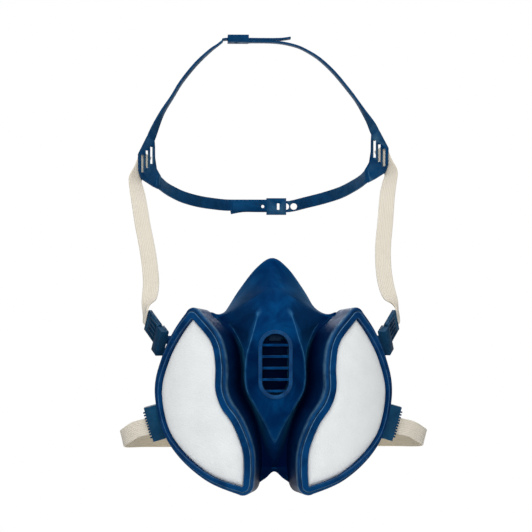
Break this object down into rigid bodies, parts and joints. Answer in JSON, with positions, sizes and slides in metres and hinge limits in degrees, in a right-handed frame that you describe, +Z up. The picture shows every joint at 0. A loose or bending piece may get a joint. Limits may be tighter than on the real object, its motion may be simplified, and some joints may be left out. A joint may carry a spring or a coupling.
{
  "type": "respirator",
  "caption": "Half-mask respirator: soft cup with a front exhalation valve, curved side filters in raised rims, and a head cradle and neck strap.",
  "frame": {"origin": "middle of the seal that meets the wearer's face, on the plane of symmetry", "axes": "+Z up, +Y from the mask towards the wearer, +X to the right of someone who looks at the mask's front"},
  "size_m": [0.1888, 0.2515, 0.2874],
  "materials": {
    "cup_rubber": "satin",
    "housing_plastic": "satin",
    "buckle_plastic": "satin",
    "cradle_plastic": "satin",
    "valve_plastic": "matte",
    "valve_silicone": "satin",
    "filter_felt": "matte felt",
    "carbon": "matte",
    "webbing": "woven"
  },
  "bodies": {
    "facepiece": {"facepiece": "cup_rubber", "exhalation_seat": "valve_plastic", "exhalation_grille": "housing_plastic", "filter_housing_left": "housing_plastic", "filter_housing_right": "housing_plastic", "filter_frame_left": "housing_plastic", "filter_frame_right": "housing_plastic", "prefilter_left": "filter_felt", "prefilter_right": "filter_felt", "carbon_bed_left": "carbon", "carbon_bed_right": "carbon", "inhalation_seat_left": "valve_plastic", "inhalation_seat_right": "valve_plastic", "upper_stud_left": "housing_plastic", "upper_stud_right": "housing_plastic", "lower_stud_left": "housing_plastic", "lower_stud_right": "housing_plastic"},
    "exhalation_flap": {"exhalation_flap": "valve_silicone"},
    "inhalation_flap_left": {"inhalation_flap_left": "valve_silicone"},
    "inhalation_flap_right": {"inhalation_flap_right": "valve_silicone"},
    "harness": {"upper_buckle_left": "buckle_plastic", "upper_buckle_right": "buckle_plastic", "upper_strap_left": "webbing", "upper_strap_right": "webbing", "cradle_left": "cradle_plastic"},
    "cradle_right": {"cradle_right": "cradle_plastic"},
    "neck_strap": {"lower_buckle_left": "buckle_plastic", "lower_buckle_right": "buckle_plastic", "neck_strap_left": "webbing", "neck_strap_right": "webbing", "clasp_hook": "buckle_plastic", "clasp_eye": "buckle_plastic"}
  },
  "joints": [
    {"name": "exhalation_flap_hinge", "type": "hinge", "parent": "facepiece", "child": "exhalation_flap", "pos_m": [0, -0.0673, 0.01705], "axis": [-1, 0, 0], "range_deg": [0, 8], "stiffness_Nm_per_rad": 0.002},
    {"name": "inhalation_flap_left_lift", "type": "slide", "parent": "facepiece", "child": "inhalation_flap_left", "axis": [0.7071, 0.7071, 0], "range_m": [0, 0.0012], "stiffness_N_per_m": 20},
    {"name": "inhalation_flap_right_lift", "type": "slide", "parent": "facepiece", "child": "inhalation_flap_right", "axis": [-0.7071, 0.7071, 0], "range_m": [0, 0.0012], "stiffness_N_per_m": 20},
    {"name": "harness_pivot", "type": "hinge", "parent": "facepiece", "child": "harness", "pos_m": [0, -0.04, 0.0155], "axis": [1, 0, 0], "range_deg": [-15, 80]},
    {"name": "cradle_adjust", "type": "slide", "parent": "harness", "child": "cradle_right", "axis": [1, 0, 0], "range_m": [0, 0.0165], "deforming": ["upper_strap_right"]},
    {"name": "neck_strap_pivot", "type": "hinge", "parent": "facepiece", "child": "neck_strap", "pos_m": [0, -0.038, -0.0345], "axis": [1, 0, 0], "range_deg": [-40, 20]}
  ]
}
